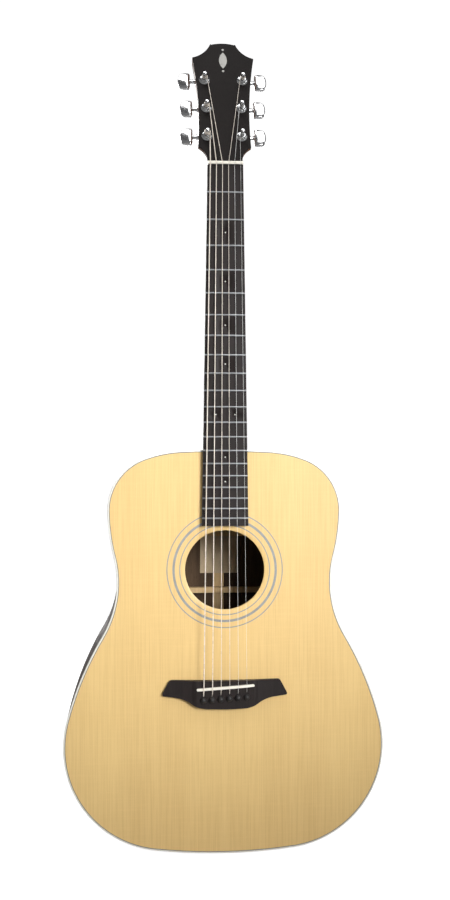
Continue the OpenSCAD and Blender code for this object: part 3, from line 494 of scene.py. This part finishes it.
for node, material, bevel in [
    ("top_linings", LINING_WOOD, 0), ("back_linings", LINING_WOOD, 0), ("neck_block", BLOCK_WOOD, 0),
    ("tail_block", BLOCK_WOOD, 0), ("top_braces", BRACE_WOOD, 0), ("bridge_plate", BRACE_WOOD, 0),
    ("back_braces", BRACE_WOOD, 0), ("back_centre_strip", BRACE_WOOD, 0), ("label", PAPER, 0),
    ("strap_button", STRAP_BLACK, 0), ("fingerboard", EBONY, 0), ("frets", FRET_METAL, 0),
    ("position_dots", DOT, 0), ("nut", BONE, 0.0002), ("neck_bolts", STEEL, 0), ("truss_rod", STEEL, 0),
    ("truss_rod_nut", GEAR_BRASS, 0), ("bridge", EBONY, 0.0007), ("saddle", BONE, 0.0004),
    ("tuner_housings", CHROME, 0.0004), ("tuner_bushings", CHROME, 0.0003), ("tuner_washers", CHROME, 0.0002),
    ("tuner_screws", CHROME, 0.00015), ("headstock_inlay", INLAY, 0),
]:
    dress(node, material, bevel)
for i in range(1, 7):
    dress(f"bridge_pin_{i}", PIN_BLACK)
    dress(f"tuner_post_{i}", CHROME)


# ---------------------------------------------------------------- body

def soundboard():
    """A flat plate from the purfling to the soundhole, with the rosette's grooves turned round the hole."""
    edge = outline(SIDE_T + PURFLING_W)
    turn = np.arctan2(edge[:, 1] - HOLE_Z, edge[:, 0])
    def round_hole(r):
        return np.column_stack([r * np.cos(turn), HOLE_Z + r * np.sin(turn)])
    clear = round_hole(ROSETTE_CLEAR_R)
    rings = [ring(edge + (clear - edge) * t, TOP_Y) for t in (0, 0.25, 0.5, 0.75, 1)]
    for middle, width in ROSETTE_ROWS[::-1]:
        outer, inner = round_hole(middle + width / 2), round_hole(middle - width / 2)
        rings += band(outer, inner, TOP_Y, TOP_Y + ROSETTE_H)
    worn = HOLE_LIP * 0.3
    rings += [ring(round_hole(HOLE_R + HOLE_LIP), TOP_Y), ring(round_hole(HOLE_R + worn), TOP_Y + worn),
              ring(round_hole(HOLE_R), TOP_Y + HOLE_LIP), ring(round_hole(HOLE_R), TOP_Y + TOP_T)]
    under = outline(SIDE_T)
    rings += [ring(clear, TOP_Y + TOP_T), ring(under, TOP_Y + TOP_T), ring(under, TOP_Y + PURFLING_H),
              ring(edge, TOP_Y + PURFLING_H)]
    make("soundboard_plate", *skin(rings, closed=True), SPRUCE, slot="spruce_top", replaces=["soundboard"])


def rosette():
    """Rings that stand a hair above the wood, so they show as clean lines."""
    for i, (middle, width) in enumerate(ROSETTE_ROWS):
        outer, inner = (circle(0, HOLE_Z, middle + sign * width / 2, 180) for sign in (1, -1))
        rings = band(outer, inner, TOP_Y - INLAY_LIFT, TOP_Y + ROSETTE_H)
        make(f"rosette_ring_{i + 1}", *skin(rings, closed=True), ROSETTE, slot="rosette",
             replaces=["rosette"] if i == 0 else ())


def purfling():
    """The thin line inside the top binding."""
    rings = band(outline(SIDE_T), outline(SIDE_T + PURFLING_W), TOP_Y - INLAY_LIFT, TOP_Y + PURFLING_H)
    make("purfling_line", *skin(rings, closed=True), PURFLING, slot="purfling", replaces=["top_purfling"])


def bindings():
    """Both bindings have a rounded outer edge."""
    turns = [math.radians(a) for a in (90, 67, 45, 22, 0)]
    corner = [(CORNER_R * (1 - math.sin(a)), CORNER_R * (1 - math.cos(a))) for a in turns]
    section = [(0.0, BINDING_H)] + corner + [(SIDE_T, 0.0), (SIDE_T, BINDING_H)]
    top, back = [], []
    for inset, depth in section:
        loop = outline(inset)
        top.append(ring(loop, TOP_Y + depth))
        back.append(ring(loop, dome(loop) - depth))
    make("binding_top", *skin(top, closed=True), BINDING, slot="binding", replaces=["top_binding"])
    make("binding_back", *skin(back, closed=True), BINDING, slot="binding", replaces=["back_binding"])


def tail_arc(x, inset):
    """Height of the tail's first arc at x, moved in by inset."""
    radius = CLOSED_ARCS[0][0] - inset
    return TAIL_Z + inset + radius - np.sqrt(radius ** 2 - x ** 2)


def graft_half(share):
    """Half the graft's width at a share of the side's depth."""
    return GRAFT_HALF + GRAFT_SPREAD * (BINDING_H + (TAIL_DEPTH - 2 * BINDING_H) * share)


def between_bindings(loop, share):
    """A loop of (x, z) at a share of the depth from the top binding to the back binding."""
    front = TOP_Y + BINDING_H
    return ring(loop, front + (dome(loop) - BINDING_H - front) * share)


def side_ring(inset, share):
    """A treble half-loop at a share of the side's depth, starting at the edge of the tail's tapered graft."""
    half = half_outline(inset)
    first = int(np.argmax(half[:, 0] > TAIL_REACH))
    rest = half[first:]
    x = np.linspace(graft_half(share), rest[0, 0], TAIL_POINTS, endpoint=False)
    return between_bindings(np.vstack([np.column_stack([x, tail_arc(x, inset)]), rest]), share)


def sides():
    """Both bent sides, with the grain running along them."""
    shares = np.linspace(0, 1, 9)
    rings = [side_ring(0, s) for s in shares] + [side_ring(SIDE_T, s) for s in shares[::-1]]
    steps = np.linalg.norm(np.diff(rings[0], axis=0), axis=1)
    along = np.concatenate([[0], np.cumsum(steps)])
    for name, node, sign in (("side_treble_skin", "side_treble", 1), ("side_bass_skin", "side_bass", -1)):
        points, faces = skin(rings, round_loop=False, closed=True)
        points = points * (sign, 1, 1)
        pairs = [(along[i % len(along)] + 0.31 * sign, points[i][1]) for i in range(len(points))]
        make(name, points, faces, ROSEWOOD_SIDE, slot="rosewood", replaces=[node], uv=pairs)


def end_graft():
    """The tapered strip that fills the gap between the sides at the tail."""
    rings = []
    shares = np.linspace(0, 1, 5)
    for inset, order in ((0.0, shares), (SIDE_T, shares[::-1])):
        for share in order:
            x = np.linspace(-graft_half(share), graft_half(share), 9)
            rings.append(between_bindings(np.column_stack([x, tail_arc(x, inset)]), share))
    make("end_graft_strip", *skin(rings, round_loop=False, closed=True), BINDING, slot="binding",
         replaces=["end_graft"])


def back():
    """The arched plate, as shrinking copies of its outline, with unfinished wood on its inner face."""
    edge = outline(SIDE_T)
    centre = np.array([0.0, (TAIL_Z + JOIN_Z) / 2])
    scales = [1, 0.97, 0.92, 0.84, 0.74, 0.62, 0.5, 0.38, 0.26, 0.15, 0.06]
    loops = [centre + (edge - centre) * s for s in scales]
    outer = [ring(loop, dome(loop)) for loop in loops[::-1]]
    inner = [ring(loop, dome(loop, BACK_T)) for loop in loops]
    piece = make("back_plate", *skin(outer + inner), ROSEWOOD, slot="rosewood", replaces=["back"])
    piece.data.materials.append(RAW_ROSEWOOD)
    for face in piece.data.polygons:
        face.material_index = int(face.normal.y < -0.5)


soundboard()
rosette()
purfling()
bindings()
sides()
end_graft()
back()


# ---------------------------------------------------------------- neck and headstock

# Carries a point from the flat headstock's own axes to its place; its outline is traced flat, as (x, up)
ON_HEAD = Matrix.Translation((0, HEAD_Y, HEAD_Z)) @ Matrix.Rotation(-HEAD_TILT, 4, "X")

HEAD_STEP = 1.5
head_flare = [(NUT_W / 2, 0.0)] + trace((NUT_W / 2, 0.0037), [(-0.0195, 56)], HEAD_STEP, 90)
head_side = trace((0.0336, 0.0213), [(-0.545, 13.2)], 0.5, 94)
head_shoulder = trace((0.0395, HEAD_LEN - 0.0213), [(-0.033, 56)], HEAD_STEP, 167)
head_crown = trace((0.0148, HEAD_LEN - 0.002), [(0.057, 15)], HEAD_STEP, 165)
HEAD_HALF = np.array(head_flare + head_side + head_shoulder + [p for p in head_crown if p[0] > 0.0003])


def board_half(z):
    """Half the fingerboard's width at height z."""
    return NUT_W / 2 + BOARD_TAPER * (NUT_Z - z)


def neck_ring(origin, tilt, width, depth, squareness, limit_x=None, limit_y=None):
    """One half-round section of the neck at origin (y, z), turned by tilt and cut off at the limits."""
    a = np.linspace(0, math.pi, RING_POINTS + 1)
    across = width * np.sign(np.cos(a)) * np.abs(np.cos(a)) ** squareness
    across[RING_POINTS // 2] = 0
    deep = depth * np.abs(np.sin(a)) ** squareness
    if limit_x is not None:
        across = np.clip(across, -limit_x, limit_x)
    y = origin[0] + deep * math.cos(tilt)
    if limit_y is not None:
        y = np.minimum(y, limit_y)
    return np.column_stack([across, y, origin[1] - deep * math.sin(tilt)])


def head_point(x, y, s):
    """A point on the tilted headstock: across, behind its face and up it."""
    return ON_HEAD @ Vector((x, y, s))


def heel_depth(z):
    """Depth of the uncut heel at height z, a quarter of an ellipse that meets the shaft."""
    if z <= JOIN_Z + HEEL_THICK:
        return HEEL_FULL
    cos_a = min(1.0, (SHAFT_TOP - z) / HEEL_ARC)
    return HEEL_FULL - (HEEL_FULL - SHAFT_T - SHAFT_GROWTH) * math.sqrt(1 - cos_a ** 2)


def heel_squareness(z):
    """The heel's section at height z, which blends into the shaft's."""
    share = min(1.0, max(0.0, (z - JOIN_Z - HEEL_THICK) / HEEL_ARC))
    return HEEL_SQUARENESS - (HEEL_SQUARENESS - SHAFT_SQUARENESS) * share


def neck():
    """Heel, shaft and headstock in one piece, as sections from the body to the head's tip."""
    rings = []
    heel_z = list(np.linspace(JOIN_Z + HEEL_GAP, JOIN_Z + HEEL_THICK, 4))
    heel_z += [SHAFT_TOP - HEEL_ARC * math.cos(math.radians(a)) for a in range(6, 90, 4)]
    for z in heel_z:
        rings.append(neck_ring((TOP_Y, z), 0, board_half(z), heel_depth(z), heel_squareness(z),
                               limit_y=HEEL_Y - HEEL_CAP_T))
    for z in np.linspace(SHAFT_TOP + 0.002, NUT_Z - 0.012, 14):
        depth = SHAFT_T + SHAFT_GROWTH * (NUT_Z - z) / (NUT_Z - SHAFT_TOP)
        rings.append(neck_ring((TOP_Y, z), 0, board_half(z), depth, SHAFT_SQUARENESS))
    stations = [(s, None) for s in np.arange(WIDEN_FROM, 0.0, 0.002)] + [(s, w) for w, s in HEAD_HALF]
    for s, limit in stations:
        k = (s - WIDEN_FROM) / (WIDE_AT - WIDEN_FROM)
        tilt = HEAD_TILT * max(0.0, min(1.0, (s + 0.004) / 0.008))
        if s < 0:
            origin = (TOP_Y, HEAD_Z + s)
        else:
            p = head_point(0, OVERLAY_T, s)
            origin = (p.y, p.z)
        if k < 1:
            width, depth, squareness = NUT_W / 2 + 0.015 * k ** 4, 0.0146 - 0.0011 * k, SHAFT_SQUARENESS
        else:
            m = min(1.0, (s - WIDE_AT) / (SQUARE_AT - WIDE_AT))
            width, depth = 0.038 + 0.012 * m, HEAD_T - OVERLAY_T
            squareness = SHAFT_SQUARENESS + (HEAD_SQUARENESS - SHAFT_SQUARENESS) * m
        rings.append(neck_ring(origin, tilt, width, depth, squareness, limit))
    make("neck_wood", *skin(rings), MAHOGANY, slot="neck_wood", replaces=["neck"], sharp=42)


def heel_cap():
    """The white cap follows the heel's own section at its depth."""
    depth = HEEL_Y - TOP_Y
    side = []
    z = JOIN_Z + HEEL_GAP
    while heel_depth(z) > depth:
        e = heel_squareness(z)
        side.append((board_half(z) * (1 - (depth / heel_depth(z)) ** (2 / e)) ** (e / 2), z))
        z += 0.0006
    side = [p for p in side if p[0] > 0.0008]
    loop = side + [(-x, z) for x, z in side[::-1]]
    piece = make("heel_cap_plate", *plate(loop, [], HEEL_Y - HEEL_CAP_T, HEEL_Y), BINDING, slot="binding",
                 replaces=["heel_cap"])
    round_edge(piece, 0.0005, 40)


def overlay():
    """The headstock's thin face, a hair below the inlay, with its lower edge cut level behind the nut."""
    loop = [tuple(p) for p in HEAD_HALF] + [(-x, s) for x, s in HEAD_HALF[::-1]]
    holes = [[(x, s) for x, s in circle(*post_place(i), 0.005, 40)] for i in range(6)]
    points, faces = plate(loop, holes, 0.00004, OVERLAY_T)
    points = [(x, y, s if s > 0.000001 else y * math.tan(HEAD_TILT)) for x, y, s in points]
    piece = make("headstock_face", placed(points, ON_HEAD), faces, OVERLAY, slot="overlay",
                 replaces=["headstock_overlay"])
    round_edge(piece, 0.0003, 40)


JOINTS = {j["name"]: j for j in frame["joints"]}


def post_place(i):
    """Tuner post i's place on the headstock's face: across and up."""
    local = ON_HEAD.inverted() @ Vector(JOINTS[f"post_{i + 1}_turn"]["pos_m"])
    return local.x, local.z


neck()
heel_cap()
overlay()


# ---------------------------------------------------------------- tuner keys

def frame_at(origin, side):
    """Local X outwards, local Z to the back and local Y towards the nut, at a point on the headstock."""
    head = ON_HEAD.to_3x3()
    across, into, up = head.col[0] * side, head.col[1], head.col[2]
    turned = Matrix((across, -up, into)).transposed().to_4x4()
    return Matrix.Translation(origin) @ turned


def turned_part(name, profile, place, body, material, slot, replaces=()):
    """A part turned about local X from (radius, distance) pairs."""
    rings = lathe(profile)
    rings = [np.column_stack([r[:, 2], r[:, 0], r[:, 1]]) for r in rings]
    points, faces = skin(rings)
    return make(name, placed(points, place), faces, material, body, slot, replaces, sharp=30)


def button_rings():
    """Shrinking copies of a D-shaped outline, slightly domed and thinner at the round outer end."""
    half = [(0.0, 0.0084), (0.0003, 0.0096), (0.0009, 0.0106), (0.0016, 0.011)]
    half += trace((0.0024, 0.0111), [(-0.04, 10), (-0.0062, 61), (-0.0187, 22)], 5, 3)
    loop = np.array(half + [(x, -y) for x, y in half[::-1]])
    centre = np.array([0.0068, 0.0])
    levels = [(1.0, 0.5), (0.992, 0.7), (0.97, 0.85), (0.93, 0.95), (0.87, 0.99), (0.6, 1.0), (0.3, 1.0),
              (0.05, 1.0)]
    rings = []
    for scale, height in levels:
        flat = centre + (loop - centre) * scale
        thick = np.interp(flat[:, 0], [0.0, 0.004, 0.011, 0.0165], [0.0031, 0.004, 0.0034, 0.002])
        thick -= flat[:, 1] ** 2 / 0.16
        rings.append(np.column_stack([flat[:, 0], flat[:, 1], thick * height]))
    return [r * (1, 1, -1) for r in rings[::-1]] + rings


def worm_points(root, tip, lead, half_len):
    """A ridge wound on the worm shaft, as a swept four-sided profile."""
    steps = 20
    rings = []
    for k in range(int(2 * half_len / lead * steps) + 1):
        a = 2 * math.pi * k / steps
        x = k * lead / steps - half_len
        rings.append([(x + dx, r * math.sin(a), -r * math.cos(a)) for r, dx in
                      ((root - 0.0003, -0.00042), (tip, -0.00016), (tip, 0.00016), (root - 0.0003, 0.00042))])
    return skin([np.array(r) for r in rings])


def keys():
    """Worm shaft, collar and button of each key, all turning with it."""
    for i in range(6):
        joint = JOINTS[f"key_{i + 1}_turn"]
        side = 1 if joint["axis"][0] > 0 else -1
        place = frame_at(joint["pos_m"], side)
        reach = KEY_REACH[min(i, 5 - i)]
        body, n = f"tuner_key_{i + 1}", i + 1
        start = reach - 0.0074
        shaft = [(SHAFT_R - 0.0003, -0.0072), (SHAFT_R, -0.0069), (SHAFT_R, -0.005), (WORM_ROOT_R, -0.005),
                 (WORM_ROOT_R, 0.005), (SHAFT_R, 0.005), (SHAFT_R, reach - 0.006)]
        turned_part(f"key_shaft_{n}", shaft, place, body, STEEL, "button_metal", [body])
        bore = SHAFT_R + 0.00002
        collar = [(bore, 0.0091), (0.0038, 0.0091), (0.0041, 0.0094), (0.0039, 0.0106), (0.0031, 0.0124),
                  (0.0027, start - 0.0014), (0.0027, start - 0.0008), (0.003, start - 0.0003),
                  (0.003, start + 0.0005), (bore, start + 0.0005)]
        turned_part(f"key_collar_{n}", collar, place, body, CHROME, "button_metal")
        points, faces = skin(button_rings())
        points = placed(points + (start, 0, 0), place)
        make(f"key_button_{n}", points, faces, BUTTON_CHROME, body, "button_metal", sharp=60)
        points, faces = worm_points(WORM_ROOT_R, WORM_TIP_R, WORM_LEAD, 2 * WORM_LEAD)
        make(f"key_worm_{n}", placed(points, place), faces, STEEL, body, "button_metal")


keys()


# ---------------------------------------------------------------- strings

def across(i, pitch):
    """String i's place across the guitar, at a given spacing."""
    return (i - 2.5) * pitch


def crown(x):
    """How much the fingerboard's curve drops at x."""
    return BOARD_R - math.sqrt(BOARD_R ** 2 - x * x)


WOUND = 4
# Each wound string's second colour is painted shade for the grooves between its windings.
WOUND_WIRES = [wound_wire(f"wound_wire_{i + 1}", (0.95, 0.86, 0.76), (0.60, 0.50, 0.42), STRING_D[i] * 0.3)
               for i in range(WOUND)]


def string_route(i):
    """The string's centreline from its ball end to the post, as the CAD solid lies."""
    r = STRING_D[i] / 2
    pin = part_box(f"bridge_pin_{i + 1}")
    pin_x, pin_z = (pin[0].x + pin[1].x) / 2, (pin[0].z + pin[1].z) / 2
    x = across(i, SADDLE_PITCH)
    saddle = (x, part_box("saddle")[0].y + crown(x) - r - 0.00005, SADDLE_Z + x * SADDLE_SLANT - 0.0014)
    x = across(i, NUT_PITCH)
    nut = (x, TOP_Y - 0.009 + crown(x) - r, NUT_FRONT + 0.001)
    post_x, post_s = post_place(i)
    side = 1 if post_x > 0 else -1
    wrap = POST_CLEARANCE + 1.05 * r
    reach = POST_WAIST_R + wrap
    start = head_point(post_x - side * reach, COIL_Y, post_s)
    route = [Vector((pin_x, TOP_Y + TOP_T + 0.0053, pin_z + 0.0044)),
             Vector((pin_x, TOP_Y + TOP_T + 0.0035, pin_z + STRING_LIFT)),
             Vector((pin_x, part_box("bridge")[0].y + 0.003, pin_z + STRING_LIFT)),
             Vector(saddle), Vector(nut), start]
    turns, steps = 2.5, 24
    pitch = 2.1 * r
    top = COIL_Y - turns * pitch
    count, climb = int(turns * steps), 8
    for k in range(1, count + climb + 1):
        y = COIL_Y - pitch * k / steps if k <= count else top + (POST_HOLE_Y - top) * (k - count) / climb
        away = (POST_WAIST_R if y > POST_SHOULDER_Y else POST_R) + wrap
        a = 2 * math.pi * k / steps
        route.append(head_point(post_x - side * away * math.cos(a), y, post_s + away * math.sin(a)))
    return route


def strings():
    """Four wound strings and two plain ones."""
    for i in range(6):
        points, faces, pairs = tube(string_route(i), STRING_D[i] / 2)
        material, slot = (WOUND_WIRES[i], "bronze") if i < WOUND else (PLAIN_WIRE, "plain_string")
        make(f"string_wire_{i + 1}", points, faces, material, slot=slot, replaces=[f"string_{i + 1}"],
             uv=pairs)


strings()


# ---------------------------------------------------------------- studio

FLOOR_GAP = 0.0002


def studio():
    """A pale round floor that sweeps up into a wall all the way round, wider than the camera's circle."""
    floor_r, bend, height, sides = 5.0, 1.0, 5.0, 72
    curve = np.linspace(0, math.pi / 2, 12)
    path = [(floor_r + bend * math.sin(a), bend - bend * math.cos(a)) for a in curve]
    path.append((floor_r + bend, height))
    points = [(0, 0, -FLOOR_GAP)]
    points += [(r * math.cos(t), r * math.sin(t), z - FLOOR_GAP)
               for r, z in path for t in np.linspace(0, 2 * math.pi, sides, endpoint=False)]
    faces = [(0, 1 + i, 1 + (i + 1) % sides) for i in range(sides)]
    for j in range(len(path) - 1):
        low, high = 1 + j * sides, 1 + (j + 1) * sides
        faces += [(low + i, high + i, high + (i + 1) % sides, low + (i + 1) % sides) for i in range(sides)]
    mesh = bpy.data.meshes.new("studio_sweep")
    mesh.from_pydata(points, [], faces)
    mesh.polygons.foreach_set("use_smooth", [True] * len(mesh.polygons))
    white = plain("studio_white", (0.62, 0.62, 0.62), 0.9, 0.002, 3, bump=0.0)
    glow = white.node_tree.nodes["Principled BSDF"].inputs
    glow["Emission Color"].default_value = (1, 1, 1, 1)
    glow["Specular IOR Level"].default_value = 0.0
    seen = white.node_tree.nodes.new("ShaderNodeLightPath").outputs["Is Camera Ray"]
    strength = white.node_tree.nodes.new("ShaderNodeMapRange")
    strength.inputs["To Min"].default_value = 0.08
    strength.inputs["To Max"].default_value = 0.98
    white.node_tree.links.new(seen, strength.inputs["Value"])
    white.node_tree.links.new(strength.outputs["Result"], glow["Emission Strength"])
    mesh.materials.append(white)
    sweep = bpy.data.objects.new("studio_sweep", mesh)
    bpy.context.scene.collection.objects.link(sweep)


def lamp(name, place, target, size, power, spread):
    """A soft box that the camera doesn't see; spread is in degrees."""
    light = bpy.data.lights.new(name, "AREA")
    light.shape = "RECTANGLE"
    light.size, light.size_y = size
    light.energy = power
    light.spread = math.radians(spread)
    holder = bpy.data.objects.new(name, light)
    holder.location = place
    holder.rotation_euler = (Vector(target) - Vector(place)).to_track_quat("-Z", "Y").to_euler()
    holder.visible_camera = False
    bpy.context.scene.collection.objects.link(holder)


def camera():
    """The photograph's viewpoint: a little left of the guitar, level with the foot of the neck."""
    lens = bpy.data.cameras.new("camera")
    lens.sensor_width = 36
    lens.lens = 47.8
    lens.clip_start = 0.05
    holder = bpy.data.objects.new("camera", lens)
    holder.location = (-0.11601, -1.56, NUT_Z - 0.36139)
    yaw, pitch, roll = math.radians(-4.43), math.radians(0.064), math.radians(0.029)
    level = Matrix.Rotation(yaw, 4, "Z") @ Matrix.Rotation(math.pi / 2 + pitch, 4, "X")
    holder.rotation_euler = (level @ Matrix.Rotation(roll, 4, "Z")).to_euler()
    bpy.context.scene.collection.objects.link(holder)
    bpy.context.scene.camera = holder


def world():
    """Dim white surroundings."""
    surroundings = bpy.data.worlds.new("studio_world")
    surroundings.use_nodes = True
    background = surroundings.node_tree.nodes["Background"]
    background.inputs["Color"].default_value = (1, 1, 1, 1)
    background.inputs["Strength"].default_value = 0.09
    bpy.context.scene.world = surroundings


camera()
world()
studio()
lamp("key", (0.52, -1.15, 0.74), (-0.05, 0, 0.455), (0.74, 0.74), 2.15, 35)
lamp("right", (0.5, -0.95, 2.08), (0, -0.05, 0.95), (1.0, 0.9), 1.35, 60)
lamp("overhead", (-0.3, -0.54, 1.96), (0, -0.05, 0.98), (0.9, 0.42), 1.3, 60)
lamp("behind", (0, 2.2, 0.9), (0, 0, 0.55), (1.4, 1.4), 9, 60)
bpy.context.scene.view_settings.view_transform = "Standard"
